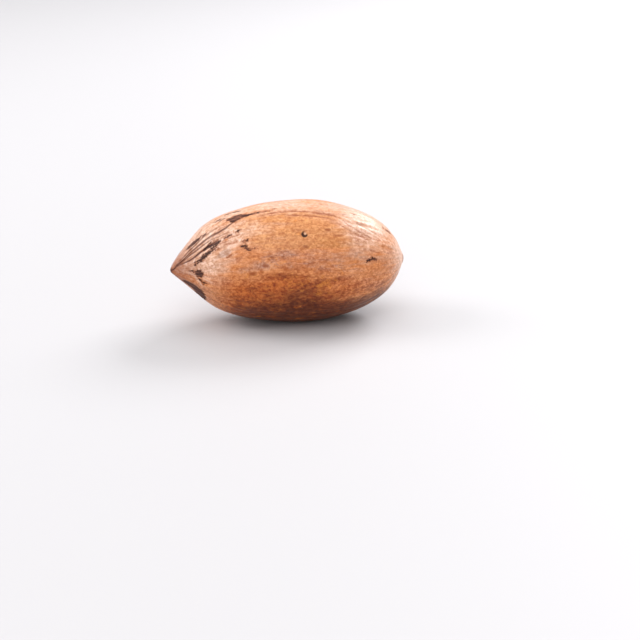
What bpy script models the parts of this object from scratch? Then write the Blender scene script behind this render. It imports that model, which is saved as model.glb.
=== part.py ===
"""One pecan in its shell, lying on its side. Metres, +Z up.

The long axis runs along X, with the pointed apex at -X and the stem scar at +X. The origin is on
the surface that the nut rests on, under the middle of its length. Angles round the nut are counted
about the long axis, from the front (-Y) upwards: 0 is the front, 90 degrees is the top.
"""

import math

import bmesh
import bpy

MM = 0.001

# Driving sizes
LENGTH = 46.0 * MM  # from the point of the apex to the stem scar
GIRTH = 23.4 * MM  # across the widest place
WIDEST_FROM_APEX = 26.1 * MM
AXIS_HEIGHT = 11.72 * MM  # of the long axis over the resting surface, which trims the belly flat
AXIS_TILT = math.radians(1.1)  # the apex lies this much higher than the scar

# The two ends. Each is a cone with a rounded point, merged smoothly into the body
BEAK_SLOPE = 1.03  # growth of the radius for each step away from the apex
BEAK_ROUNDING = 0.40 * MM
BEAK_SHOULDER = 13.0  # a higher power makes a crisper edge between cone and body
HEEL_SLOPE = 1.82
HEEL_ROUNDING = 1.43 * MM
HEEL_SHOULDER = 9.0

# The beak bends a little towards the front and down
BEND_LENGTH = 13.0 * MM
BEAK_LEAN = 2.0 * MM
BEAK_DROOP = 0.6 * MM

# Four low keels run from end to end: a seam between the shell's halves on two opposite sides, and a
# fainter keel midway between the seams. All four twist a little on their way down the beak
KEELS = 4
SEAM_ANGLE = math.radians(75.0)
BEAK_TWIST = math.radians(-14.0)
TWIST_LENGTH = 8.0 * MM
KEEL_NARROWNESS = 3.0  # a higher number makes a narrower crest
KEEL_AT_BEAK = 0.50 * MM
KEEL_ELSEWHERE = 0.06 * MM
KEEL_FADE = 9.0 * MM  # how far the high keels of the beak reach
SEAM_LIP = 0.10 * MM
SEAM_LIP_WIDTH = 0.8 * MM

# Fine ribs fan out from the apex on both sides of each seam
RIB_HEIGHT = 0.13 * MM
RIB_SPACING = math.radians(8.6)
RIB_FAN = math.radians(17.0)
RIB_FADE = 8.5 * MM

# Slow swellings that keep the body from being perfectly round: (height, waves round the nut, half
# waves along it, and where each of the two starts)
SWELLINGS = (
    (0.16 * MM, 2, 1.0, 0.6, 0.3),
    (0.10 * MM, 3, 1.5, 2.1, 1.2),
    (0.05 * MM, 5, 2.5, 0.9, 2.0),
)

# The scar where the nut sat on its stem: a low nub with a dimple
SCAR_HEIGHT = 0.50 * MM
SCAR_RADIUS = 1.20 * MM
SCAR_DIMPLE = 0.25 * MM
SCAR_DIMPLE_RADIUS = 0.45 * MM

# Fineness of the mesh. Lines crowd together on the keels and rings crowd together at the ends
LINES_ROUND = 96
RINGS = 48
LINE_CROWDING = 0.6
RING_CROWDING = 0.35

SHELL_COLOUR = (0.52, 0.25, 0.11, 1.0)
SHELL_ROUGHNESS = 0.48


def bell(distance, width):
    """A smooth bump of height 1 that has all but gone two widths away."""
    return math.exp(-((distance / width) ** 2))


def rounded_cone(distance, slope, rounding):
    """Radius of a cone with a rounded point, at this distance from the point."""
    return slope * math.sqrt(distance * (distance + 2 * rounding))


def round_radius(along):
    """Radius of the plain round shell at this distance from the apex.

    The body is an egg made of two half ellipsoids. A cone cuts each half back smoothly to its end.
    """
    if along < WIDEST_FROM_APEX:
        reach = WIDEST_FROM_APEX
        cone = rounded_cone(along, BEAK_SLOPE, BEAK_ROUNDING)
        shoulder = BEAK_SHOULDER
    else:
        reach = LENGTH - WIDEST_FROM_APEX
        cone = rounded_cone(LENGTH - along, HEEL_SLOPE, HEEL_ROUNDING)
        shoulder = HEEL_SHOULDER
    outwards = (along - WIDEST_FROM_APEX) / reach
    body = GIRTH / 2 * math.sqrt(max(0.0, 1 - outwards**2))
    least = min(body, cone)
    if least <= 0:
        return 0.0
    return least * ((least / body) ** shoulder + (least / cone) ** shoulder) ** (-1 / shoulder)


def axis_course(along):
    """(y, z) of the long axis at this distance from the apex, and how fast each changes along it."""
    bend = max(0.0, 1 - along / BEND_LENGTH)
    turn = 2 * bend / BEND_LENGTH
    climb = math.tan(AXIS_TILT)
    y = -BEAK_LEAN * bend**2
    z = AXIS_HEIGHT - BEAK_DROOP * bend**2 - climb * (along - LENGTH / 2)
    return y, z, BEAK_LEAN * turn, BEAK_DROOP * turn - climb


def relief(along, turn, radius):
    """Height of the keels, ribs and swellings over the round shell. The turn is from the seam."""
    half_turn = math.pi
    from_seam = math.remainder(turn, half_turn)
    crest = math.exp(KEEL_NARROWNESS * (math.cos(KEELS * turn) - 1))
    height = crest * (KEEL_AT_BEAK * bell(along, KEEL_FADE) + KEEL_ELSEWHERE)
    height += SEAM_LIP * bell(from_seam * radius, SEAM_LIP_WIDTH)
    ribs = math.cos(math.tau * from_seam / RIB_SPACING) * bell(from_seam, RIB_FAN)
    height += RIB_HEIGHT * ribs * bell(along, RIB_FADE)
    for swelling, round_waves, long_waves, round_start, long_start in SWELLINGS:
        wave = math.sin(round_waves * turn + round_start)
        wave *= math.sin(long_waves * math.pi * along / LENGTH + long_start)
        height += swelling * wave
    # Every form dies out where the shell closes at its ends
    closing = GIRTH / 6
    return height * min(1.0, radius / closing)


def shell_place(polar, turn):
    """The place on the shell for a polar angle from the apex and a turn from the seam."""
    polar -= RING_CROWDING / 2 * math.sin(2 * polar)
    turn -= LINE_CROWDING / KEELS * math.sin(KEELS * turn)
    along = LENGTH * (1 - math.cos(polar)) / 2
    radius = round_radius(along)
    radius += relief(along, turn, radius)
    angle = turn + SEAM_ANGLE + BEAK_TWIST * bell(along, TWIST_LENGTH)
    sideways = -radius * math.cos(angle)
    upwards = radius * math.sin(angle)
    y, z, y_slope, z_slope = axis_course(along)
    # Each ring stands square to the bent axis
    x = along - LENGTH / 2 - y_slope * sideways - z_slope * upwards
    if along > LENGTH / 2:
        x += SCAR_HEIGHT * (bell(radius, SCAR_RADIUS) - 1)
        x -= SCAR_DIMPLE * bell(radius, SCAR_DIMPLE_RADIUS)
    return x, y + sideways, z + upwards


def make_shell_mesh():
    """A UV sphere with its poles at the two ends, each point moved onto the shell."""
    shape = bmesh.new()
    bmesh.ops.create_uvsphere(shape, u_segments=LINES_ROUND, v_segments=RINGS, radius=1)
    for vertex in shape.verts:
        x, y, z = vertex.co
        polar = math.acos(max(-1.0, min(1.0, -z)))
        vertex.co = shell_place(polar, math.atan2(y, x))
    bmesh.ops.recalc_face_normals(shape, faces=shape.faces)
    mesh = bpy.data.meshes.new("pecan_shell")
    shape.to_mesh(mesh)
    shape.free()
    return mesh


def make_shell_material():
    """Matt tan shell."""
    material = bpy.data.materials.new("pecan_shell")
    material.use_nodes = True
    surface = material.node_tree.nodes["Principled BSDF"]
    surface.inputs["Base Color"].default_value = SHELL_COLOUR
    surface.inputs["Roughness"].default_value = SHELL_ROUGHNESS
    surface.inputs["Metallic"].default_value = 0.0
    material.diffuse_color = SHELL_COLOUR
    return material


def make_surface_cutter(collection):
    """A block whose top is the resting surface. It trims the belly to a small flat spot."""
    bpy.ops.mesh.primitive_cube_add(size=1)
    block = bpy.context.object
    block.name = "resting_surface_cutter"
    for owner in block.users_collection:
        owner.objects.unlink(block)
    collection.objects.link(block)
    block.dimensions = (LENGTH, GIRTH, GIRTH)
    block.location = (0, 0, -GIRTH / 2)
    block.hide_render = True
    block.display_type = "WIRE"
    return block


def make_collection(name):
    collection = bpy.data.collections.new(name)
    bpy.context.scene.collection.children.link(collection)
    return collection


def main():
    for obj in list(bpy.data.objects):
        bpy.data.objects.remove(obj, do_unlink=True)
    parts = make_collection("pecan")
    cutters = make_collection("cutters")

    mesh = make_shell_mesh()
    mesh.materials.append(make_shell_material())
    mesh.shade_smooth()
    shell = bpy.data.objects.new("pecan_shell", mesh)
    parts.objects.link(shell)

    flat_spot = shell.modifiers.new("flat_spot", "BOOLEAN")
    flat_spot.operation = "DIFFERENCE"
    flat_spot.solver = "EXACT"
    flat_spot.object = make_surface_cutter(cutters)


main()
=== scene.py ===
"""A pecan in its shell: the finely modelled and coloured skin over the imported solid, and the stage.

Metres, +Z up, the long axis along X with the pointed apex at -X. A place on the shell is given by
its distance from the apex and by its turn about the long axis, counted from the upper seam: the
front of the nut has negative turns. Sizes of marks and of relief are in millimetres.
"""

import bpy
import numpy as np
from mathutils import Matrix


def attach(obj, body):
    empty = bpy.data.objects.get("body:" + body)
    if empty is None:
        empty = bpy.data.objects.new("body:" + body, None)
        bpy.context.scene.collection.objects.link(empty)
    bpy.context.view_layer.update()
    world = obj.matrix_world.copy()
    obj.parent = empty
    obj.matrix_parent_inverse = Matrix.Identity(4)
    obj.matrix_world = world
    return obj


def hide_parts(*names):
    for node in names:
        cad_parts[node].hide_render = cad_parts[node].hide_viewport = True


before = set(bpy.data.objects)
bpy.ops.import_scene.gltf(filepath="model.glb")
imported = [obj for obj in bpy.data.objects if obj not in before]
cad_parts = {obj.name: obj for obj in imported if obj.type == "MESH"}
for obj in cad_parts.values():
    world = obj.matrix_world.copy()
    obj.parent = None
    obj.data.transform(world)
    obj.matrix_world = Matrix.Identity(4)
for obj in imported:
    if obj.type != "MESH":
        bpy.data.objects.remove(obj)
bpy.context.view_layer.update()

bl_info = {
    "name": "Pecan in shell",
    "version": (1, 0, 0),
    "blender": (4, 5, 0),
    "location": "View3D > Sidebar > Pecan",
    "description": "Builds the detailed skin of a pecan in its shell and the stage around it",
    "category": "Add Mesh",
}

MM = 0.001

# Form of the shell, in millimetres and radians: the same values as the solid's
WIDEST_FROM_APEX = 26.1
AXIS_HEIGHT = 11.72
AXIS_TILT = np.radians(1.1)
BEAK_SLOPE = 1.03
BEAK_ROUNDING = 0.40
BEAK_SHOULDER = 13.0
HEEL_SLOPE = 1.82
HEEL_ROUNDING = 1.43
HEEL_SHOULDER = 9.0
BEND_LENGTH = 13.0
BEAK_LEAN = 2.0
BEAK_DROOP = 0.6
KEELS = 4
SEAM_ANGLE = np.radians(75.0)
BEAK_TWIST = np.radians(-14.0)
TWIST_LENGTH = 8.0
KEEL_NARROWNESS = 3.0
KEEL_AT_BEAK = 0.50
KEEL_ELSEWHERE = 0.06
KEEL_FADE = 9.0
SEAM_LIP = 0.10
SEAM_LIP_WIDTH = 0.8
RIB_HEIGHT = 0.13
RIB_SPACING = np.radians(8.6)
RIB_FAN = np.radians(17.0)
RIB_FADE = 8.5
# Slow swellings: (height, waves round the nut, half waves along it, start of each in radians)
SWELLINGS = (
    (0.16, 2, 1.0, 0.6, 0.3),
    (0.10, 3, 1.5, 2.1, 1.2),
    (0.05, 5, 2.5, 0.9, 2.0),
)
SCAR_HEIGHT = 0.50
SCAR_RADIUS = 1.20
SCAR_DIMPLE = 0.25
SCAR_DIMPLE_RADIUS = 0.45
# The scar starts at this share of the length, with an edge of this share
SCAR_START = 0.6
SCAR_EDGE = 0.05

# Fineness of the skin, and how strongly its rings crowd together at the ends
RINGS = 300
LINES_ROUND = 320
RING_CROWDING = 0.2

# Fine relief, as layers of smooth random waves: (height, cells round the nut, length of a cell)
WRINKLES = (
    (0.10, 9, 10.0),
    (0.07, 36, 9.0),
    (0.05, 76, 6.0),
    (0.02, 140, 2.5),
)
# They waver by this turn, are higher at the heel, and fade where the shell is narrow
WAVER = np.radians(3.0)
WAVER_CELLS = (12, 9.0)
HEEL_WRINKLING = 0.8
HEEL_WRINKLING_FADE = 12.0
FADING_RADIUS = 5.0

# A distance that counts as far away, and the least reach that is stored
FAR_AWAY = 9.0
LEAST_REACH = -2.0

# The two dark lines of the seam: (distance from the apex, turn in degrees) along each
UPPER_LINE = (
    (0.4, -31), (0.9, -12), (3.2, -7), (6.0, -8), (8.9, -11),
    (10.4, -10), (11.7, -6), (13.7, -2), (20, 1), (46, 0),
)
LOWER_LINE = (
    (0.4, -31), (1.1, -20), (2.3, -22), (3.1, -24), (4.7, -21),
    (6.5, -20), (9.6, -21), (12.9, -19), (46, -15),
)
# Their grooves, deepest this far from the apex
GROOVE_DEPTH = 0.12
GROOVE_WIDTH = 0.18
GROOVE_MIDDLE = 5.0
GROOVE_FADE = 7.0

# Dark stains: (distance from the apex, turn in degrees, half width) at points along each
STAINS = (
    # A patch at the upper shoulder of the beak, and a speck after it
    ((3.6, 16, 0.4), (4.1, 11, 0.7), (4.7, 8, 0.65), (5.3, 5, 0.35)),
    ((6.0, 3, 0.14), (6.4, 1, 0.2)),
    # Two strands and a lump of the thick streak below the seam
    ((5.5, -20, 0.1), (6.5, -20, 0.3), (7.3, -22, 0.5), (8.2, -23, 0.5), (8.7, -23, 0.15)),
    ((4.2, -35, 0.25), (4.9, -34, 0.4), (6.0, -30, 0.32), (7.2, -28, 0.3), (8.2, -30, 0.15)),
    ((3.8, -38, 0.28), (4.3, -36, 0.22)),
    # Two dashes that carry it on
    ((9.6, -22, 0.14), (10.4, -21, 0.26), (11.1, -21, 0.14)),
    ((11.9, -20, 0.14), (12.4, -20, 0.24), (12.9, -19, 0.12)),
    # A patch on the seam, with a thin tail
    ((11.2, 1, 0.4), (12.0, -1, 0.8), (12.9, 1, 0.75), (14.0, 0, 0.55), (15.0, -1, 0.2)),
    ((14.4, -1, 0.18), (15.4, 0, 0.14), (16.2, 0, 0.2), (17.2, 0, 0.2), (18.0, 0, 0.1), (20.0, 2, 0.12)),
    # Specks and a dark edge beyond the seam
    ((9.0, 12, 0.2), (9.8, 12, 0.22)),
    ((9.8, 7, 0.16), (10.4, 8, 0.2)),
    ((10.9, 20, 0.1), (12.2, 19, 0.28), (13.6, 16, 0.1)),
    # A blob with a thin tail on the lower side of the beak
    ((2.8, -56, 0.08), (3.7, -59, 0.2), (4.1, -61, 0.55), (4.5, -66, 0.5), (4.8, -69, 0.2)),
    # A crease, and the dark band along the lower edge of the beak: partly a stain, partly painted shade
    ((3.8, -72, 0.08), (4.4, -79, 0.16), (4.8, -82, 0.2), (5.3, -83, 0.1)),
    (
        (1.8, -122, 0.2), (2.6, -112, 0.7), (3.4, -111, 0.95),
        (4.2, -117, 1.1), (4.9, -129, 1.0), (5.6, -146, 0.4),
    ),
    # Small ragged marks on the flank
    ((12.8, -39, 0.16), (13.4, -40, 0.25), (13.9, -41.5, 0.38), (14.4, -43, 0.2)),
    ((13.7, -37.5, 0.14), (13.9, -41, 0.22)),
    ((14.4, -42.5, 0.15), (15.9, -43, 0.13)),
    ((13.4, -34, 0.1), (14.2, -33, 0.13)),
    ((37.3, -61, 0.22), (37.8, -58.5, 0.22), (38.3, -56.5, 0.14)),
    ((38.2, -58, 0.16), (38.9, -57, 0.12), (39.3, -60, 0.06)),
    ((35.3, -1, 0.12), (36.2, -1, 0.15)),
    ((41.8, -5, 0.14), (42.9, -5, 0.16)),
)

# Brown lines and spots, fainter than the stains
BROWN_MARKS = (
    (
        (17.0, -5, 0.12), (20.8, -4, 0.30), (23.9, -4, 0.26),
        (27.4, -6, 0.30), (31.3, -8, 0.26), (32.3, -10, 0.2),
    ),
    ((19.8, -7, 0.1), (22.6, -9, 0.22), (27.4, -11, 0.22), (30.5, -13, 0.26), (31.6, -17, 0.16)),
    (
        (32.3, -10, 0.1), (33.6, -16, 0.2), (34.4, -21, 0.16),
        (36.8, -28, 0.2), (38.3, -32, 0.2), (40.3, -33, 0.1),
    ),
    ((31.6, -17, 0.1), (33.3, -24, 0.2), (35.6, -30, 0.2), (37.8, -36, 0.1)),
    ((29.5, -27, 0.3), (30.1, -27, 0.35)),
    ((19.9, -48, 0.14), (20.5, -48, 0.18)),
    ((21.1, -48, 0.14), (21.6, -48, 0.18)),
    ((31.0, -33, 0.3), (32.7, -33, 0.25)),
    ((38.1, -47, 0.22), (38.9, -49, 0.2), (39.7, -50, 0.1)),
    ((17.0, -61, 0.5), (17.5, -61, 0.4)),
    ((14.6, -69, 0.4), (15.2, -69, 0.4)),
    ((24.6, -44, 0.35), (25.4, -45, 0.3)),
    ((7.0, -33, 0.1), (8.4, -33, 0.2), (10.6, -31, 0.1)),
    ((9.6, -47, 0.2), (10.6, -46, 0.3)),
    # Long faint lines and two spots on the back
    ((13.0, 96, 0.08), (19.0, 99, 0.22), (26.0, 98, 0.2), (33.0, 101, 0.08)),
    ((20.0, 124, 0.08), (25.5, 122, 0.26), (31.0, 124, 0.16), (36.5, 121, 0.08)),
    ((10.0, 149, 0.08), (15.0, 152, 0.24), (21.5, 151, 0.14), (24.0, 153, 0.08)),
    ((26.0, 166, 0.08), (31.0, 168, 0.24), (37.0, 166, 0.2), (40.0, 168, 0.08)),
    ((28.5, 110, 0.3), (29.4, 111, 0.4)),
    ((17.5, 137, 0.3), (18.2, 137, 0.35)),
)

# Pale ridges above the crease
PALE_MARKS = (
    ((2.9, -61, 0.12), (3.5, -70, 0.22), (3.9, -79, 0.25), (4.5, -88, 0.2)),
    ((4.6, -71, 0.1), (5.4, -76, 0.18), (6.4, -79, 0.1)),
)

# Grooves and ridges drawn in the relief: depth, then points as above
CREASES = (
    (0.16, ((3.9, -73, 0.12), (4.4, -79, 0.2), (5.2, -83, 0.2), (6.4, -86, 0.15))),
    (-0.14, ((2.9, -60, 0.15), (3.5, -69, 0.22), (3.9, -79, 0.25), (4.6, -88, 0.2))),
    (0.06, (
        (32.3, -10, 0.1), (33.6, -16, 0.15), (34.4, -21, 0.15),
        (36.8, -28, 0.15), (38.3, -32, 0.15), (40.3, -33, 0.1),
    )),
    (0.06, ((31.6, -17, 0.1), (33.3, -24, 0.15), (35.6, -30, 0.15), (38.5, -38, 0.15), (41.3, -48, 0.1))),
    (0.06, ((30.0, -3, 0.1), (33.5, -8, 0.15), (37.0, -18, 0.15), (40.0, -26, 0.15), (42.5, -40, 0.1))),
    (0.05, ((29.0, -6, 0.1), (33.0, -12, 0.15), (36.0, -22, 0.15), (39.5, -30, 0.1))),
)
CREASE_EDGE = 0.12

# A small round pit with a crescent of painted shade and a spot of painted highlight. The lit part of
# it and the painted highlight are circles with a share of its radius, moved on by (distance, turn in
# degrees)
PIT_PLACE = (24.9, -32.0)
PIT_RADIUS = 0.65
PIT_DEPTH = 0.25
PIT_ROUNDING = 0.8
PIT_LIT_SHIFT = (0.2, 1.2)
PIT_LIT_RADIUS = 0.55
PIT_HIGHLIGHT_SHIFT = (0.15, 0.8)
PIT_HIGHLIGHT_RADIUS = 0.35

# Random marks on the side away from the front: how many near the beak and on the body, and the
# least and greatest distance from the apex, turn in degrees, length, half width and drift
BACK_STREAKS = 9
STREAK_STARTS = (2, 9)
STREAK_TURNS = (50, 215)
STREAK_LENGTHS = (1.5, 5)
STREAK_WIDTHS = (0.15, 0.6)
STREAK_DRIFTS = (-4, 4)
STREAK_WIDEST = 0.4
STREAK_TIP = 0.1
BACK_SPECKS = 7
SPECK_STARTS = (12, 42)
SPECK_TURNS = (50, 250)
SPECK_LENGTHS = (0.5, 1.6)
SPECK_WIDTHS = (0.15, 0.32)
SPECK_DRIFT = 2
SPECK_TIP = 0.08
SEED = 11

# Fields of colour. A span is where a field starts and ends, each with the width of its edge, in
# millimetres from the apex or in degrees of turn. A patch is (strength, distance from the apex,
# half length, turn in degrees, half turn, power), where power 1 gives a softer edge than 2
ORANGE_TURNS = (-46, 1.2, -2, 3)
ORANGE_START = 11
ORANGE_START_TURN = -16
ORANGE_SLANT = 0.16
ORANGE_START_EDGE = 2.2
ORANGE_END = 35
ORANGE_END_EDGE = 3
ORANGE_PATCHES = ((0.4, 24, 15, 105, 45, 2),)

TAN_BEAK_END = 9.5
TAN_BEAK_EDGE = 3.0
TAN_LOWER_TURN = -68
TAN_LOWER_EDGE = 6
# The tan band along the upper seam is partly a painted highlight along the top
TAN_AND_SHEEN_BAND_TURN = 12
TAN_AND_SHEEN_BAND_WIDTH = 17
TAN_HEEL_START = 43
TAN_HEEL_EDGE = 1.6
TAN_FLANK_PATCHES = (
    (0.9, 9.5, 7, -24, 22, 1),
    (0.45, 7.5, 3.5, -54, 16, 1),
    (0.25, 19.5, 4, -24, 9, 1),
)
# Painted highlight: pale patches at the heel where the highlight falls
HEEL_PAINTED_HIGHLIGHT_PATCHES = (
    (0.5, 37, 6, -38, 30, 1),
    (0.7, 37.5, 5, -8, 22, 2),
)

# A height is the cosine of the turn from the lowest line of the nut
LOWEST_TURN = np.radians(-165)
RUSSET_SPAN = (8.7, 3.2, 34, 4)
RUSSET_HEIGHT = 0.04
RUSSET_EDGE = 0.13
RUSSET_ON_BACK = 0.35
RUSSET_PATCHES = (
    (0.6, 21, 5, -80, 12, 2),
    (0.45, 22.5, 8, -57, 11, 1),
    (0.35, 26, 18, 120, 50, 1),
)

# The darker underside: mostly painted shade under the nut, partly a darker shell
BELLY_SPAN = (11, 3.5, 43, 3)
BELLY_HEIGHT = 0.46
BELLY_EDGE = 0.17
BELLY_PATCHES = ((0.6, 24, 6.5, -92, 20, 1),)

GOLDEN_PATCHES = (
    (1.0, 18, 3.5, -60, 9, 2),
    (0.45, 29, 8, -80, 8, 2),
    (0.5, 26, 8, 130, 14, 2),
)

SMOOTH_BAND_TURN = 8
SMOOTH_BAND_WIDTH = 24
SMOOTH_BAND_START = 14
SMOOTH_BAND_EDGE = 4
SMOOTH_PATCHES = (
    (0.9, 38, 8, -12, 36, 1),
    (0.4, 38, 6, -62, 18, 1),
    (0.5, 27, 10, -57, 10, 1),
    (0.7, 9, 5, -48, 22, 1),
    (0.5, 25, 17, 118, 50, 1),
)

BLOOM_TURNS = (-68, 5, -45.5, 1.2)
BLOOM_SPAN = (16, 2, 36, 4)
BLOOM_AND_SHEEN_PATCHES = (
    # The first, along the top, is partly a painted highlight; the second and third, at the heel, are a
    # painted highlight
    (0.8, 28, 14, 14, 16, 2),
    (0.2, 37, 6, -38, 25, 2),
    (0.45, 37, 7, -5, 25, 2),
    (1.6, 9.3, 1.8, -41, 6, 2),
    (0.8, 14, 5, -62, 8, 2),
    (0.8, 26, 12, 62, 12, 2),
    (0.7, 20, 10, 160, 14, 2),
)

# The shader's patterns: spots are a little longer along the nut than across it
SPOT_SCALE = (0.75 / MM, 1 / MM, 1 / MM)
GRAIN_TINT = (0.75, 1.25, 1.70)
SCAR_RIM_RADIUS = 1.75
BUMP_DISTANCE = 0.08 * MM

# Soft lights: azimuth and height angle in degrees, distance, size across and up, and colour
KEY_LIGHT = (132, 34, 0.6, (0.36, 0.24), (0.99, 0.99, 1.0))
FILL_LIGHT = (-12, 42, 0.7, (0.5, 0.5), (1.0, 0.99, 0.98))
BEAK_LIGHT = (-105, 35, 0.6, (0.3, 0.3), (1.0, 0.99, 0.99))
FLOOR_REACH = 3.0
FLOOR_FADE = (0.4, 1.6)

# The camera's lens in millimetres, and where the nut's middle shows, in pixels of a square picture
LENS = 85.0
SENSOR_WIDTH = 36.0
NEAREST = 0.01
FARTHEST = 20.0
PICTURE_SIDE = 640
NUT_ACROSS = 288.1
NUT_DOWN = 261.1


def bell(distance, width):
    """A smooth bump of height 1 that has all but gone two widths away."""
    return np.exp(-((distance / width) ** 2))


def soft_step(value, width):
    """From 0 to 1 as the value passes 0, over about twice this width."""
    return 0.5 + 0.5 * np.tanh(value / width)


def between(value, start, start_edge, end, end_edge):
    """1 from start to end and 0 outside, with a soft step of its own width at each."""
    return soft_step(value - start, start_edge) * soft_step(end - value, end_edge)


def half_turn_from(turn):
    """The turn from the nearer of the two opposite seams, signed."""
    return (turn + np.pi / 2) % np.pi - np.pi / 2


def full_turn_from(turn, middle):
    """The turn from one line along the nut, signed and within half a turn."""
    return (turn - middle + np.pi) % (2 * np.pi) - np.pi


def rounded_cone(distance, slope, rounding):
    """Slope times the square root of d (d + 2 rounding): a cone with a rounded point."""
    return slope * np.sqrt(np.maximum(distance * (distance + 2 * rounding), 0))


def cells(along, turn, round_cells, cell_length, seed):
    """Smooth random waves between -1 and 1: random values on a lattice of cells that closes round
    the nut, joined by the smooth step 3 u^2 - 2 u^3 in both directions."""
    rows = along / cell_length + 1
    columns = turn / (2 * np.pi) * round_cells
    lattice = np.random.default_rng(seed).uniform(-1, 1, (int(rows.max()) + 2, round_cells))
    row = np.floor(rows).astype(int)
    column = np.floor(columns).astype(int)
    down = rows - row
    over = columns - column
    down = down * down * (3 - 2 * down)
    over = over * over * (3 - 2 * over)
    near, far = column % round_cells, (column + 1) % round_cells
    first = lattice[row, near] * (1 - over) + lattice[row, far] * over
    second = lattice[row + 1, near] * (1 - over) + lattice[row + 1, far] * over
    return first * (1 - down) + second * down


class Shell:
    """The skin as whole arrays on a grid: distance from the apex by turn from the seam."""

    def __init__(self, length, girth, wrinkling):
        self.length = length
        self.girth = girth
        # Rings crowd together at the two ends, as along = length (1 - cos p) / 2 with p shifted
        polar = np.linspace(0, np.pi, RINGS + 1)
        polar = polar - RING_CROWDING * np.sin(2 * polar)
        turns = np.linspace(0, 2 * np.pi, LINES_ROUND, endpoint=False)
        self.along, self.turn = np.meshgrid(length * (1 - np.cos(polar)) / 2, turns, indexing="ij")
        self.degrees = np.degrees(full_turn_from(self.turn, 0))
        self.wrinkling = wrinkling
        self.radius = self.round_radius()
        self.radius = self.radius + self.relief() + self.fine_relief()
        self.places = self.placed()

    def round_radius(self):
        """Radius of the plain shell: two half ellipsoids, each cut back smoothly by a cone. The
        smooth cut is (a^-n + b^-n)^(-1/n) of the two radii a and b."""
        beak_side = self.along < WIDEST_FROM_APEX
        reach = np.where(beak_side, WIDEST_FROM_APEX, self.length - WIDEST_FROM_APEX)
        outwards = (self.along - WIDEST_FROM_APEX) / reach
        body = self.girth / 2 * np.sqrt(np.maximum(1 - outwards**2, 1e-12))
        beak = rounded_cone(self.along, BEAK_SLOPE, BEAK_ROUNDING)
        heel = rounded_cone(self.length - self.along, HEEL_SLOPE, HEEL_ROUNDING)
        cone = np.maximum(np.where(beak_side, beak, heel), 1e-9)
        power = np.where(beak_side, BEAK_SHOULDER, HEEL_SHOULDER)
        least = np.minimum(body, cone)
        return least * ((least / body) ** power + (least / cone) ** power) ** (-1 / power)

    def relief(self):
        """Keels, the seam's lips, ribs that fan out from the apex, and slow swellings."""
        from_seam = half_turn_from(self.turn)
        crest = np.exp(KEEL_NARROWNESS * (np.cos(KEELS * self.turn) - 1))
        height = crest * (KEEL_AT_BEAK * bell(self.along, KEEL_FADE) + KEEL_ELSEWHERE)
        height += SEAM_LIP * bell(from_seam * self.radius, SEAM_LIP_WIDTH)
        ribs = np.cos(2 * np.pi * from_seam / RIB_SPACING) * bell(from_seam, RIB_FAN)
        height += RIB_HEIGHT * ribs * bell(self.along, RIB_FADE)
        for swelling, round_waves, long_waves, round_start, long_start in SWELLINGS:
            wave = np.sin(round_waves * self.turn + round_start)
            height += swelling * wave * np.sin(long_waves * np.pi * self.along / self.length + long_start)
        return height * np.minimum(1, self.radius / (self.girth / 6))

    def fine_relief(self):
        """Wrinkles that run from end to end and waver a little, the seam's two grooves, creases
        and a pit."""
        wavering = self.turn + WAVER * cells(self.along, self.turn, *WAVER_CELLS, SEED)
        height = 0
        for layer, (wave, round_cells, cell_length) in enumerate(WRINKLES):
            height = height + wave * cells(self.along, wavering, round_cells, cell_length, SEED + 1 + layer)
        ends = np.minimum(1, self.radius / FADING_RADIUS)
        heel = 1 + HEEL_WRINKLING * bell(self.length - self.along, HEEL_WRINKLING_FADE)
        height = self.wrinkling * height * ends * heel
        for line in (UPPER_LINE, LOWER_LINE):
            groove = bell(self.beside_line(line), GROOVE_WIDTH)
            height -= GROOVE_DEPTH * groove * bell(self.along - GROOVE_MIDDLE, GROOVE_FADE) * ends
        for depth, points in CREASES:
            height -= depth * soft_step(self.reach_of(points), CREASE_EDGE)
        height -= PIT_DEPTH * bell(self.from_pit(), PIT_RADIUS * PIT_ROUNDING)
        return height

    def across(self, turn):
        """Distance round the shell from the line at this turn, in degrees."""
        return self.radius * full_turn_from(self.turn, np.radians(turn))

    def distance(self, along, turn):
        return np.hypot(self.along - along, self.across(turn))

    def beside_line(self, line):
        """Signed distance beside a line of the seam, and beside its twin on the opposite seam."""
        at, turns = np.array(line).T
        return self.radius * (np.sin(self.turn) - np.sin(np.radians(np.interp(self.along, at, turns))))

    def reach_of(self, points):
        """Half width of a stroke less the distance from its middle line: above 0 inside it."""
        reach = np.full_like(self.along, -FAR_AWAY)
        for (along_a, turn_a, half_a), (along_b, turn_b, half_b) in zip(points, points[1:]):
            length = along_b - along_a
            sweep = self.radius * np.radians(turn_b - turn_a)
            from_start = self.along - along_a
            share = (from_start * length + self.across(turn_a) * sweep) / (length**2 + sweep**2)
            share = np.clip(share, 0, 1)
            gap = np.hypot(from_start - share * length, self.across(turn_a) - share * sweep)
            reach = np.maximum(reach, half_a + share * (half_b - half_a) - gap)
        return reach

    def from_pit(self, shift=(0, 0)):
        """Distance from the pit's middle, or from a place moved on from there."""
        (along, turn), (further, onwards) = PIT_PLACE, shift
        return self.distance(along + further, turn + onwards)

    def pit_shade(self):
        """The crescent of painted shade: inside the pit's rim and outside a smaller circle beyond its
        middle.
        """
        lit = self.from_pit(PIT_LIT_SHIFT) - PIT_LIT_RADIUS * PIT_RADIUS
        return np.minimum(PIT_RADIUS - self.from_pit(), lit)

    def pit_highlight_reach(self):
        """The painted highlight: a pale spot on the pit's far side."""
        return PIT_HIGHLIGHT_RADIUS * PIT_RADIUS - self.from_pit(PIT_HIGHLIGHT_SHIFT)

    def from_scar(self):
        """Distance from the middle of the stem scar, and far away on the beak's half."""
        near = np.minimum(self.radius, FAR_AWAY)
        return np.where(self.along > SCAR_START * self.length, near, FAR_AWAY)

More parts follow.
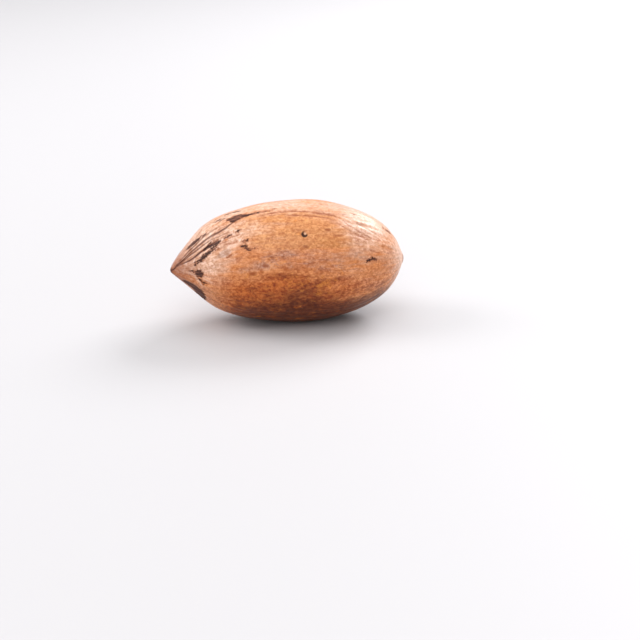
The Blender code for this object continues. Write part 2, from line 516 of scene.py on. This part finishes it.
    def reach_of_all(self, strokes):
        """The greatest reach of any of the strokes, but nowhere less than LEAST_REACH."""
        field = np.full_like(self.along, LEAST_REACH)
        for points in strokes:
            field = np.maximum(field, self.reach_of(points))
        return field

    def placed(self):
        """Points in millimetres: each ring stands square to the bent long axis."""
        bend = np.maximum(0, 1 - self.along / BEND_LENGTH)
        slope = 2 * bend / BEND_LENGTH
        climb = np.tan(AXIS_TILT)
        angle = self.turn + SEAM_ANGLE + BEAK_TWIST * bell(self.along, TWIST_LENGTH)
        sideways = -self.radius * np.cos(angle)
        upwards = self.radius * np.sin(angle)
        x = self.along - self.length / 2
        x = x - BEAK_LEAN * slope * sideways - (BEAK_DROOP * slope - climb) * upwards
        scar = SCAR_HEIGHT * (bell(self.radius, SCAR_RADIUS) - 1)
        scar = scar - SCAR_DIMPLE * bell(self.radius, SCAR_DIMPLE_RADIUS)
        x = x + scar * soft_step(self.along - SCAR_START * self.length, SCAR_EDGE * self.length)
        y = -BEAK_LEAN * bend**2 + sideways
        z = AXIS_HEIGHT - BEAK_DROOP * bend**2 - climb * (self.along - self.length / 2) + upwards
        return np.stack([x, y, np.maximum(z, 0)], axis=-1)

    def unrolled(self):
        """A place for patterns that run from end to end: the distance travelled over the shell
        from the apex, and a point on a circle as wide as the nut."""
        step = np.diff(self.along.mean(axis=1), prepend=0)
        rise = np.diff(self.radius.mean(axis=1), prepend=0)
        travelled = np.cumsum(np.hypot(step, rise))[:, None] + 0 * self.turn
        across = self.girth / 2
        return np.stack([travelled, across * np.cos(self.turn), across * np.sin(self.turn)], axis=-1)

    def patch(self, middle, half_length, turn, half_turn, power):
        """A soft-edged patch: e^-(d^(2 power)), with d from its middle in shares of its half sizes."""
        across = full_turn_from(self.turn, np.radians(turn)) / np.radians(half_turn)
        return np.exp(-((((self.along - middle) / half_length) ** 2 + across**2) ** power))

    def patches(self, rows):
        """The sum of patches, each times its strength."""
        return sum(strength * self.patch(*patch) for strength, *patch in rows)

    def orange_zone(self):
        """The warm field on the front with its slanting edge at the beak, and one on the back."""
        start = ORANGE_START - ORANGE_SLANT * (self.degrees - ORANGE_START_TURN)
        front = between(self.along, start, ORANGE_START_EDGE, ORANGE_END, ORANGE_END_EDGE)
        front = front * between(self.degrees, *ORANGE_TURNS)
        return front + self.patches(ORANGE_PATCHES)

    def pale_and_highlight_zone(self):
        """The tan of the beak's upper side, the band along the upper seam, partly a painted highlight, and
        the heel with a painted highlight on it.
        """
        beak = soft_step(TAN_BEAK_END - self.along, TAN_BEAK_EDGE)
        beak = beak * (0.65 + 0.35 * np.cos(self.turn + 0.3))
        beak = beak * (1 - 0.6 * soft_step(TAN_LOWER_TURN - self.degrees, TAN_LOWER_EDGE))
        flank = self.patches(TAN_FLANK_PATCHES)
        top = 0.85 * bell(self.degrees - TAN_AND_SHEEN_BAND_TURN, TAN_AND_SHEEN_BAND_WIDTH)
        heel = 0.75 * soft_step(self.along - TAN_HEEL_START, TAN_HEEL_EDGE)
        # Painted highlight: pale patches on the heel
        heel = heel + self.patches(HEEL_PAINTED_HIGHLIGHT_PATCHES)
        return np.maximum(np.maximum(beak, flank), np.maximum(top, heel))

    def russet_zone(self):
        """The redder lower flanks, between the beak and the heel."""
        below = np.cos(self.turn - LOWEST_TURN) + RUSSET_ON_BACK * np.maximum(0, np.sin(self.turn))
        field = soft_step(below - RUSSET_HEIGHT, RUSSET_EDGE) * between(self.along, *RUSSET_SPAN)
        return field + self.patches(RUSSET_PATCHES)

    def belly_shade_zone(self):
        """The darker underside: partly a darker shell, mostly painted shade under the nut."""
        below = np.cos(self.turn - LOWEST_TURN)
        field = soft_step(below - BELLY_HEIGHT, BELLY_EDGE) * between(self.along, *BELLY_SPAN)
        return field + self.patches(BELLY_PATCHES)

    def golden_zone(self):
        """Golden blotches on the lower front, and one on the back."""
        return self.patches(GOLDEN_PATCHES)

    def smooth_zone(self):
        """Where the grain is faint: along the upper seam, towards the heel and in patches."""
        top = 0.6 * bell(self.degrees - SMOOTH_BAND_TURN, SMOOTH_BAND_WIDTH)
        top = top * soft_step(self.along - SMOOTH_BAND_START, SMOOTH_BAND_EDGE)
        return np.minimum(1, top + self.patches(SMOOTH_PATCHES))

    def bloom_and_sheen_zone(self):
        """The pinkish film: a band under the orange field, and patches; along the top and at the heel the
        patches are partly a painted highlight.
        """
        band = 0.9 * between(self.degrees, *BLOOM_TURNS) * between(self.along, *BLOOM_SPAN)
        return band + self.patches(BLOOM_AND_SHEEN_PATCHES)

    def values(self, grid):
        """A grid's values in the order of the mesh's points: one for each end, the rest by ring."""
        inner = grid[1:-1].reshape(-1, *grid.shape[2:])
        return np.concatenate([grid[:1].mean(axis=1), inner, grid[-1:].mean(axis=1)])


def back_marks():
    """Random streaks at the beak and specks on the body, on the side away from the front."""
    draw = np.random.default_rng(SEED)
    found = []
    for _ in range(BACK_STREAKS):
        start, turn = draw.uniform(*STREAK_STARTS), draw.uniform(*STREAK_TURNS)
        length, width = draw.uniform(*STREAK_LENGTHS), draw.uniform(*STREAK_WIDTHS)
        drift = draw.uniform(*STREAK_DRIFTS)
        middle = (start + length * STREAK_WIDEST, turn + drift * STREAK_WIDEST, width)
        end = (start + length, turn + drift, STREAK_TIP)
        found.append(((start, turn, STREAK_TIP), middle, end))
    for _ in range(BACK_SPECKS):
        start, turn = draw.uniform(*SPECK_STARTS), draw.uniform(*SPECK_TURNS)
        length, width = draw.uniform(*SPECK_LENGTHS), draw.uniform(*SPECK_WIDTHS)
        middle = (start + length / 2, turn + SPECK_DRIFT / 2, width)
        end = (start + length, turn + SPECK_DRIFT, SPECK_TIP)
        found.append(((start, turn, SPECK_TIP), middle, end))
    return tuple(found)


def make_mesh(name, shell):
    """The grid as a closed mesh: a fan of triangles at each end and quads between."""
    points = shell.values(shell.places) * MM
    ring = np.arange(LINES_ROUND)
    after = np.roll(ring, -1)
    first = 1 + ring
    first_fan = np.stack([np.zeros_like(ring), first, 1 + after], axis=1)
    row = 1 + LINES_ROUND * np.arange(RINGS - 2)[:, None]
    next_row = row + LINES_ROUND
    quads = np.stack([row + ring, next_row + ring, next_row + after, row + after], axis=-1)
    last_row = 1 + LINES_ROUND * (RINGS - 2)
    last_fan = np.stack([np.full_like(ring, len(points) - 1), last_row + after, last_row + ring], axis=1)
    faces = first_fan.tolist() + quads.reshape(-1, 4).tolist() + last_fan.tolist()
    mesh = bpy.data.meshes.new(name)
    mesh.from_pydata(points, [], faces)
    mesh.shade_smooth()
    return mesh


def add_values(mesh, name, values):
    """Stores numbers or vectors at the points of a mesh."""
    kind = "FLOAT_VECTOR" if values.ndim == 2 else "FLOAT"
    attribute = mesh.attributes.new(name, kind, "POINT")
    attribute.data.foreach_set("vector" if values.ndim == 2 else "value", values.astype(np.float32).ravel())


class Value:
    """A shader socket that takes part in Python sums. Each sum adds one Math node."""

    def __init__(self, recipe, socket):
        self.recipe = recipe
        self.socket = socket

    def __add__(self, other):
        return self.recipe.maths("ADD", self, other)

    def __radd__(self, other):
        return self.recipe.maths("ADD", other, self)

    def __sub__(self, other):
        return self.recipe.maths("SUBTRACT", self, other)

    def __rsub__(self, other):
        return self.recipe.maths("SUBTRACT", other, self)

    def __mul__(self, other):
        return self.recipe.maths("MULTIPLY", self, other)

    def __rmul__(self, other):
        return self.recipe.maths("MULTIPLY", other, self)

    def __abs__(self):
        return self.recipe.maths("ABSOLUTE", self)

    def clamped(self):
        return self.recipe.node("ShaderNodeClamp", None, {0: self})


class Recipe:
    """Builds the node tree of one material."""

    def __init__(self, name):
        self.material = bpy.data.materials.new(name)
        self.material.use_nodes = True
        self.tree = self.material.node_tree
        self.surface = self.tree.nodes["Principled BSDF"]

    def node(self, kind, settings=None, inputs=None, output=0):
        """Adds a node, sets it up, fills or links its sockets and returns one of its outputs."""
        node = self.tree.nodes.new(kind)
        for name, value in (settings or {}).items():
            setattr(node, name, value)
        for socket, value in (inputs or {}).items():
            if isinstance(value, Value):
                self.tree.links.new(value.socket, node.inputs[socket])
            else:
                node.inputs[socket].default_value = value
        return Value(self, node.outputs[output])

    def maths(self, operation, *values):
        return self.node("ShaderNodeMath", {"operation": operation}, dict(enumerate(values)))

    def attribute(self, name, output=2):
        return self.node("ShaderNodeAttribute", {"attribute_name": name}, output=output)

    def stretched(self, vector, scale):
        """A vector times a scale along each axis."""
        return self.node("ShaderNodeVectorMath", {"operation": "MULTIPLY"}, {0: vector, 1: scale})

    def noise(self, vector, scale, detail=2.0, roughness=0.5, distortion=0.0):
        """Random clouds with a mean of 0, mostly within 1 either way."""
        inputs = {"Vector": vector, "Scale": scale, "Detail": detail}
        inputs.update({"Roughness": roughness, "Distortion": distortion})
        return self.node("ShaderNodeTexNoise", None, inputs) * 4.0 - 2.0

    def rise(self, value, low, high):
        """0 below low, 1 above high, with a smooth step between."""
        inputs = {"Value": value, "From Min": low, "From Max": high}
        return self.node("ShaderNodeMapRange", {"interpolation_type": "SMOOTHSTEP"}, inputs)

    def fall(self, value, low, high):
        """1 below low, 0 above high, with a smooth step between."""
        return 1.0 - self.rise(value, low, high)

    def mix(self, factor, first, second, blend="MIX"):
        """One colour into another."""
        settings = {"data_type": "RGBA", "blend_type": blend}
        return self.node("ShaderNodeMix", settings, {0: factor, 6: first, 7: second}, output=2)

    def tint(self, depth, shares):
        """White where the depth is 0, and each channel e^(depth times its share) elsewhere."""
        channels = [self.maths("EXPONENT", depth * share) for share in shares]
        return self.node("ShaderNodeCombineColor", None, dict(enumerate(channels)))

    def feed(self, socket, value):
        self.tree.links.new(value.socket, self.surface.inputs[socket])


class ShellPaint(Recipe):
    """Dry pecan shell: orange and tan above, russet below, finely fibred and grained, with a pinkish
    film, brown marks and near-black stains that have greyish middles. Painted light is laid in too: a
    painted highlight along the top and at the heel, painted shade on the underside and beside the seam
    near the beak, and painted shade and a painted highlight in the pit. Each method mixes its colours
    over those of the methods before it. Distances are in millimetres."""

    def __init__(self, look):
        super().__init__("pecan_shell_skin")
        self.look = look
        self.colour = look.ground
        self.place = self.attribute("shell_place", output=1)
        self.spot = self.stretched(self.node("ShaderNodeTexCoord", output=3), SPOT_SCALE)
        self.along = self.attribute("along")
        self.near_beak = self.fall(self.along, 5.0, 13.0)
        self.smooth = self.attribute("smooth_zone")
        self.broad = self.long_noise(0.5, scale=0.17, detail=3.0, roughness=0.55, distortion=0.4)
        self.streak = self.long_noise(0.25, scale=0.75, detail=4.0, roughness=0.65, distortion=0.2)
        self.fibre = self.long_noise(0.10, scale=1.5, detail=3.0, roughness=0.6)
        self.fine_fibre = self.long_noise(0.10, scale=3.6, roughness=0.6)
        self.frayed = self.long_noise(0.35, scale=2.0, detail=3.0, roughness=0.7)
        self.mottle = self.noise(self.spot, scale=0.55, detail=4.0, roughness=0.65, distortion=0.3)
        self.grain = self.noise(self.spot, scale=1.1, detail=3.0, roughness=0.65, distortion=0.6)
        self.fine_grain = self.noise(self.spot, scale=2.1, roughness=0.65, distortion=0.5)
        self.crumbled = self.noise(self.spot, scale=2.7, detail=3.0, roughness=0.75)

    def long_noise(self, share, **settings):
        """Noise along the fibres; the lower the share of the distance, the longer its clouds."""
        return self.noise(self.stretched(self.place, (share, 1.0, 1.0)), **settings)

    def over(self, factor, paint):
        """Mixes a colour over what is there."""
        self.colour = self.mix(factor, self.colour, paint)

    def ground(self):
        """Fields of orange, tan and russet that run into each other, the tan partly a painted highlight
        along the top and at the heel, and a darker underside that is mostly painted shade.
        """
        orange = self.attribute("orange_zone") + self.mottle * 0.35 + self.streak * 0.25
        self.over(self.rise(orange, 0.0, 1.0), self.look.orange)
        # Tan, partly a painted highlight along the top and at the heel
        pale = self.attribute("pale_and_highlight_zone") + self.broad * 0.25 + self.streak * 0.35
        self.over(self.rise(pale, 0.0, 1.0), self.look.tan)
        russet = self.attribute("russet_zone") + self.broad * 0.3 + self.streak * 0.45
        self.russet = self.rise(russet, 0.0, 1.0)
        self.over(self.russet, self.look.russet)
        # Painted shade: the underside darkened as if in shade under the nut, partly also a darker shell
        belly_shade = self.attribute("belly_shade_zone") + self.mottle * 0.3 + self.streak * 0.3
        self.over(self.rise(belly_shade, 0.1, 1.0) * 0.9, self.look.belly_shade)

    def mottling(self):
        """Brown streaky mottling, stronger on the russet, then the pinkish film, partly a painted highlight
        along the top and at the heel, and warmer spots.
        """
        brown = self.rise(self.streak * 0.8 + self.mottle * 0.5, -0.1, 0.9)
        self.over(brown * (0.17 + self.russet * 0.70 - self.smooth * 0.08), self.look.brown)
        # The pinkish film, with a painted highlight along the top and at the heel
        bloom_and_sheen = self.attribute("bloom_and_sheen_zone") * 0.9 + self.broad * 0.2
        self.bloom_and_sheen = self.rise(bloom_and_sheen + self.streak * 0.3 + self.mottle * 0.2, 0.45, 1.35)
        self.over(self.bloom_and_sheen * 0.6, self.look.bloom_and_sheen)
        warm = self.mottle + self.grain * 0.5 + self.attribute("golden_zone") * 0.6
        self.over(self.rise(warm, 0.45, 1.1) * 0.45, self.look.rust)

    def graining(self):
        """Fibres and grains: the darker they are, the deeper their colour."""
        strength = 0.85 + self.russet * 0.60 - self.smooth * 0.40
        grains = (self.grain * 0.32 + self.fine_grain * 0.58) * strength
        fibres = self.fibre * 0.08 + self.fine_fibre * 0.06
        depth = self.maths("SMOOTH_MIN", fibres + grains, 0.36, 0.3)
        self.colour = self.mix(1.0, self.colour, self.tint(depth, GRAIN_TINT), "MULTIPLY")
        pores = self.rise(self.fine_grain * 0.6 + self.grain * 0.6, 0.55, 1.0)
        self.over(pores * (0.10 + self.russet * 0.25 - self.smooth * 0.08), self.look.brown)

    def threads(self):
        """Thin brown threads that follow the fibres, here and there."""
        thread = self.fall(abs(self.long_noise(0.06, scale=0.9, roughness=0.6)), 0.0, 0.11)
        where = self.rise(self.broad + self.streak * 0.5 + self.near_beak, -0.1, 0.7)
        self.over(thread * where * 0.4, self.look.brown)

    def marks(self):
        """Brown marks and pale ridges with ragged edges."""
        brown = self.attribute("brown_mark") + self.frayed * 0.16 + self.crumbled * 0.14
        self.over(self.rise(brown, -0.15, 0.3) * 0.8, self.look.brown)
        ridge = self.rise(self.attribute("pale_mark") + self.frayed * 0.08, -0.05, 0.15)
        self.over(ridge * 0.9, self.look.tan)

    def seam_line(self, beside, inner, outer):
        """A line that wanders a little, from its signed distance; finer close to the apex."""
        return self.fall(abs(beside + self.frayed * 0.07) * self.finer, inner, outer)

    def seam(self):
        """The brown end of the beak, the seam's two dark lines and two fainter ones, and painted shade
        beside the upper line near the beak.
        """
        self.finer = 2.6 - self.rise(self.along, 0.0, 5.0) * 1.6
        upper = self.attribute("upper_line")
        lower = self.attribute("lower_line")
        gaps = self.rise(self.long_noise(0.10, scale=2.2), -0.9, 0.0)
        upper_line = self.seam_line(upper, 0.08, 0.30) * self.fall(self.along, 11.0, 17.0) * gaps
        lower_line = self.seam_line(lower, 0.10, 0.30) * self.fall(self.along, 6.5, 9.5) * gaps
        outer_line = self.seam_line(upper - self.along * 0.13, 0.04, 0.26) * self.near_beak * 0.7
        between_line = self.seam_line(upper + self.along * 0.10, 0.04, 0.24) * self.near_beak * 0.7
        tip = self.fall(self.along + self.crumbled * 0.12, 0.05, 0.45)
        lines = upper_line * 0.9 + lower_line + outer_line + between_line + tip * 0.7
        self.lines = lines.clamped()
        browned = self.fall(self.along + self.mottle * 1.2 + self.streak * 1.2, 0.5, 5.5)
        self.over(browned * 0.7, self.look.brown)
        # Painted shade beside the upper line near the beak
        painted_seam_shade = self.fall(abs(upper + 0.1) * self.finer, 0.15, 0.75)
        self.over(painted_seam_shade * self.near_beak * 0.3, self.look.brown)
        self.over(self.lines * 0.92, self.look.seam)

    def stains(self):
        """Near-black stains with a brown rim, a greyish middle and slits along the fibres."""
        strands = self.long_noise(0.25, scale=1.9, detail=3.0, roughness=0.65)
        inside = self.attribute("stain")
        reach = inside + strands * 0.32 + self.crumbled * 0.36
        self.over(self.rise(reach, -0.30, 0.05) * 0.7, self.look.brown)
        slits = self.rise(strands * -1.0, 0.05, 0.40) * self.rise(inside, 0.02, 0.18)
        self.stain = self.rise(reach, -0.05, 0.12) * (1.0 - slits * 0.3)
        middle = self.rise(inside + self.crumbled * 0.35 - strands * 0.3, 0.20, 0.6)
        black = self.mix(middle * 0.6, self.look.stain, self.look.stain_middle)
        self.over(self.stain * 0.92, black)

    def pit(self):
        """The pit's crescent of painted shade and its spot of painted highlight."""
        self.pit_shade = self.rise(self.attribute("pit_shade"), -0.08, 0.08)
        self.over(self.pit_shade * 0.95, self.look.stain)
        pit_highlight = self.rise(self.attribute("pit_highlight_reach"), -0.08, 0.08)
        self.over(pit_highlight * 0.65, self.look.pit_highlight)

    def scar(self):
        """The stem scar: a brown ring with a pale rim, and a dark dimple."""
        from_scar = self.attribute("from_scar") + self.crumbled * 0.18
        rim = self.fall(abs(from_scar - SCAR_RIM_RADIUS), 0.1, 0.5)
        self.over(rim * 0.5, self.look.tan)
        self.over(self.fall(from_scar, 1.0, 1.45) * 0.75, self.look.brown)
        self.over(self.fall(from_scar, 0.35, 0.65) * 0.85, self.look.seam)

    def surfacing(self):
        """Feeds the colour, and a sheen and a fine bump that follow the fibres and the stains."""
        dark = (self.stain + self.lines + self.pit_shade).clamped()
        roughness = 0.33 + self.grain * 0.04 + self.fibre * 0.03 + self.bloom_and_sheen * 0.06 + dark * 0.3
        height = self.fibre * 0.25 + self.fine_fibre * 0.15 + self.grain * 0.20
        height = height + self.fine_grain * 0.12 - dark * 0.25
        bump = {"Strength": 0.5, "Distance": BUMP_DISTANCE, "Height": height}
        self.feed("Base Color", self.colour)
        self.feed("Roughness", roughness)
        self.feed("Normal", self.node("ShaderNodeBump", None, bump))
        self.surface.inputs["IOR"].default_value = self.look.gloss
        self.material.diffuse_color = self.look.orange


def shell_material(look):
    """The skin's material, layer by layer."""
    paint = ShellPaint(look)
    paint.ground()
    paint.mottling()
    paint.graining()
    paint.threads()
    paint.marks()
    paint.seam()
    paint.stains()
    paint.pit()
    paint.scar()
    paint.surfacing()
    return paint.material


def floor_material(near, far):
    """A pale card, paler still far from the nut, where less light falls on it."""
    recipe = Recipe("floor_card")
    place = recipe.node("ShaderNodeTexCoord", output=3)
    away = recipe.node("ShaderNodeVectorMath", {"operation": "LENGTH"}, {0: place}, output=1)
    recipe.feed("Base Color", recipe.mix(recipe.rise(away, *FLOOR_FADE), near, far))
    recipe.surface.inputs["Roughness"].default_value = 0.6
    return recipe.material


def colour_property(name, description, red, green, blue):
    default = (red, green, blue, 1.0)
    return bpy.props.FloatVectorProperty(
        name=name, description=description, default=default, subtype="COLOR", size=4, min=0.0, max=1.0
    )


def number_property(name, description, default, **limits):
    return bpy.props.FloatProperty(name=name, description=description, default=default, **limits)


class ShellSettings(bpy.types.PropertyGroup):
    """Sizes and colours of the shell."""

    length: number_property("Length", "From the apex to the stem scar", 0.046, unit="LENGTH", precision=4)
    girth: number_property("Girth", "Across the widest place", 0.0234, unit="LENGTH", precision=4)
    wrinkling: number_property(
        "Wrinkling", "Strength of the fine relief", 1.0, min=0.0, max=2.0, subtype="FACTOR"
    )
    gloss: number_property("Gloss", "Index of refraction of the shell's surface", 1.36, min=1.0, max=2.0)
    ground: colour_property("Ground", "Orange brown between the other fields", 0.63, 0.225, 0.078)
    orange: colour_property("Orange", "Warm field on the body", 0.61, 0.240, 0.082)
    # Also the colour of the painted highlight along the top and at the heel
    tan: colour_property("Tan", "Pale field at the beak, the top and the heel", 0.76, 0.47, 0.335)
    russet: colour_property("Russet", "Field of the lower flanks", 0.47, 0.110, 0.019)
    # Colour of the painted shade on the underside, partly a darker shell
    belly_shade: colour_property("Belly", "Dark field of the underside", 0.085, 0.014, 0.003)
    brown: colour_property("Brown", "Streaky mottling and faint marks", 0.28, 0.062, 0.014)
    # Also the colour of the painted highlight along the top and at the heel
    bloom_and_sheen: colour_property("Bloom", "Pinkish grey film", 0.47, 0.305, 0.245)
    rust: colour_property("Rust", "Saturated orange spots", 0.68, 0.205, 0.024)
    seam: colour_property("Seam", "Dark lines of the seam", 0.085, 0.022, 0.014)
    stain: colour_property("Stain", "Near-black streaks", 0.020, 0.004, 0.003)
    stain_middle: colour_property("Stain middle", "Greyish middle of the streaks", 0.085, 0.030, 0.027)
    # Colour of the painted highlight in the pit
    pit_highlight: colour_property("Fleck", "Pale spot in the pit", 0.76, 0.52, 0.38)


class StageSettings(bpy.types.PropertyGroup):
    """Floor, lights and camera."""

    floor_colour: colour_property("Floor", "Colour of the floor under the nut", 0.56, 0.55, 0.565)
    floor_far: colour_property("Floor far away", "Colour of the floor far from the nut", 0.88, 0.87, 0.88)
    overhead: number_property("Overhead", "Strength of the white surround overhead", 1.52, min=0.0)
    surround: number_property(
        "Surround", "Share of that strength half way up", 0.12, min=0.0, subtype="FACTOR"
    )
    horizon: number_property(
        "Horizon", "Share of that strength at the horizon", 0.48, min=0.0, subtype="FACTOR"
    )
    key_power: number_property("Key", "Power of the light behind the nut", 3.0, min=0.0, unit="POWER")
    fill_power: number_property("Fill", "Power of the front light", 1.6, min=0.0, unit="POWER")
    beak_power: number_property("Beak side", "Power of the light by the beak", 1.6, min=0.0, unit="POWER")
    azimuth: number_property("Azimuth", "Camera's turn from the front", np.radians(-9.0), subtype="ANGLE")
    elevation: number_property("Elevation", "Camera's height angle", np.radians(20.0), subtype="ANGLE")
    distance: number_property("Distance", "From the camera to the nut", 0.2943, unit="LENGTH", precision=4)


class PECAN_OT_shell(bpy.types.Operator):
    """Build the detailed skin of the nut"""

    bl_idname = "pecan.shell"
    bl_label = "Shell"

    def execute(self, context):
        look = context.scene.pecan_shell
        shell = Shell(look.length / MM, look.girth / MM, look.wrinkling)
        mesh = make_mesh("pecan_skin", shell)
        for name, grid in (
            ("shell_place", shell.unrolled()),
            ("along", shell.along),
            ("upper_line", shell.beside_line(UPPER_LINE)),
            ("lower_line", shell.beside_line(LOWER_LINE)),
            ("stain", shell.reach_of_all(STAINS + back_marks())),
            ("brown_mark", shell.reach_of_all(BROWN_MARKS)),
            ("pale_mark", shell.reach_of_all(PALE_MARKS)),
            ("pit_shade", shell.pit_shade()),
            ("pit_highlight_reach", shell.pit_highlight_reach()),
            ("from_scar", shell.from_scar()),
            ("orange_zone", shell.orange_zone()),
            ("pale_and_highlight_zone", shell.pale_and_highlight_zone()),
            ("russet_zone", shell.russet_zone()),
            ("belly_shade_zone", shell.belly_shade_zone()),
            ("golden_zone", shell.golden_zone()),
            ("smooth_zone", shell.smooth_zone()),
            ("bloom_and_sheen_zone", shell.bloom_and_sheen_zone()),
        ):
            add_values(mesh, name, shell.values(grid))
        mesh.materials.append(shell_material(look))
        skin = bpy.data.objects.new("pecan_skin", mesh)
        context.scene.collection.objects.link(skin)
        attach(skin, "root")
        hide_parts("pecan_shell")
        return {"FINISHED"}


def direction(azimuth, elevation):
    """Unit vector towards a place at this azimuth from the front and this height angle."""
    return np.array(
        [np.sin(azimuth) * np.cos(elevation), -np.cos(azimuth) * np.cos(elevation), np.sin(elevation)]
    )


def placing(place, azimuth, elevation):
    """A thing at this place that looks back along the direction, with the other axis level."""
    back = direction(azimuth, elevation)
    right = np.array([np.cos(azimuth), np.sin(azimuth), 0.0])
    axes = np.stack([right, np.cross(back, right), back], axis=1)
    return Matrix.Translation(place.tolist()) @ Matrix(axes.tolist()).to_4x4()


def add_light(context, name, power, azimuth, elevation, distance, size, colour):
    """A rectangular soft light aimed at the nut."""
    light = bpy.data.lights.new(name, "AREA")
    light.shape = "RECTANGLE"
    light.size, light.size_y = size
    light.energy = power
    light.color = colour
    lamp = bpy.data.objects.new(name, light)
    azimuth, elevation = np.radians(azimuth), np.radians(elevation)
    place = np.array([0, 0, AXIS_HEIGHT * MM]) + distance * direction(azimuth, elevation)
    lamp.matrix_world = placing(place, azimuth, elevation)
    context.scene.collection.objects.link(lamp)


class PECAN_OT_stage(bpy.types.Operator):
    """Add the pale floor, the soft lights and the camera"""

    bl_idname = "pecan.stage"
    bl_label = "Stage"

    def execute(self, context):
        stage = context.scene.pecan_stage
        self.add_floor(context, stage)
        self.add_surround(context, stage)
        add_light(context, "key", stage.key_power, *KEY_LIGHT)
        add_light(context, "fill", stage.fill_power, *FILL_LIGHT)
        add_light(context, "beak_side", stage.beak_power, *BEAK_LIGHT)
        self.add_camera(context, stage)
        return {"FINISHED"}

    def add_floor(self, context, stage):
        """A pale square card under the nut."""
        corners = np.array([(-1, -1, 0), (1, -1, 0), (1, 1, 0), (-1, 1, 0)]) * FLOOR_REACH
        mesh = bpy.data.meshes.new("floor")
        mesh.from_pydata(corners, [], [(0, 1, 2, 3)])
        mesh.materials.append(floor_material(stage.floor_colour, stage.floor_far))
        floor = bpy.data.objects.new("floor", mesh)
        context.scene.collection.objects.link(floor)

    def add_surround(self, context, stage):
        """A white surround: a pale band at the horizon, dim above it and bright overhead."""
        world = bpy.data.worlds.new("white_surround")
        world.use_nodes = True
        nodes, links = world.node_tree.nodes, world.node_tree.links
        height = nodes.new("ShaderNodeSeparateXYZ")
        links.new(nodes.new("ShaderNodeTexCoord").outputs["Generated"], height.inputs[0])
        brightness = nodes.new("ShaderNodeValToRGB")
        ramp = brightness.color_ramp
        stops = (
            (0.0, stage.horizon),
            (0.20, stage.horizon),
            (0.40, stage.surround),
            (0.60, stage.surround),
            (0.85, 1.0),
        )
        for extra in stops[2:]:
            ramp.elements.new(extra[0])
        for element, (place, share) in zip(ramp.elements, stops):
            element.position = place
            element.color = (share, share, share, 1.0)
        links.new(height.outputs["Z"], brightness.inputs["Fac"])
        background = nodes["Background"]
        links.new(brightness.outputs["Color"], background.inputs["Color"])
        background.inputs["Strength"].default_value = stage.overhead
        context.scene.world = world
        context.scene.view_settings.view_transform = "Standard"

    def add_camera(self, context, stage):
        """The nut's middle shows a little left of the picture's centre and above it; both
        distances are shares of the picture's width."""
        across = (NUT_ACROSS - PICTURE_SIDE / 2) / PICTURE_SIDE
        upwards = (PICTURE_SIDE / 2 - NUT_DOWN) / PICTURE_SIDE
        camera = bpy.data.cameras.new("camera")
        camera.lens = LENS
        camera.sensor_width = SENSOR_WIDTH
        camera.clip_start = NEAREST
        camera.clip_end = FARTHEST
        spread = camera.sensor_width / camera.lens
        back = direction(stage.azimuth, stage.elevation)
        right = np.array([np.cos(stage.azimuth), np.sin(stage.azimuth), 0.0])
        middle = np.array([0, 0, AXIS_HEIGHT * MM])
        aside = across * spread * right + upwards * spread * np.cross(back, right)
        viewer = bpy.data.objects.new("camera", camera)
        eye = middle + stage.distance * (back - aside)
        viewer.matrix_world = placing(eye, stage.azimuth, stage.elevation)
        context.scene.collection.objects.link(viewer)
        context.scene.camera = viewer


class PECAN_PT_sidebar(bpy.types.Panel):
    """Lists the settings and the steps"""

    bl_label = "Pecan in shell"
    bl_idname = "PECAN_PT_sidebar"
    bl_space_type = "VIEW_3D"
    bl_region_type = "UI"
    bl_category = "Pecan"

    def draw(self, context):
        for settings, operator in (
            (context.scene.pecan_shell, PECAN_OT_shell),
            (context.scene.pecan_stage, PECAN_OT_stage),
        ):
            box = self.layout.box()
            for name in settings.__annotations__:
                box.prop(settings, name)
            box.operator(operator.bl_idname)


CLASSES = (ShellSettings, StageSettings, PECAN_OT_shell, PECAN_OT_stage, PECAN_PT_sidebar)


def register():
    for kind in CLASSES:
        bpy.utils.register_class(kind)
    bpy.types.Scene.pecan_shell = bpy.props.PointerProperty(type=ShellSettings)
    bpy.types.Scene.pecan_stage = bpy.props.PointerProperty(type=StageSettings)


def unregister():
    del bpy.types.Scene.pecan_stage
    del bpy.types.Scene.pecan_shell
    for kind in reversed(CLASSES):
        bpy.utils.unregister_class(kind)


def main():
    register()
    bpy.ops.pecan.shell()
    bpy.ops.pecan.stage()


if __name__ == "__main__":
    main()
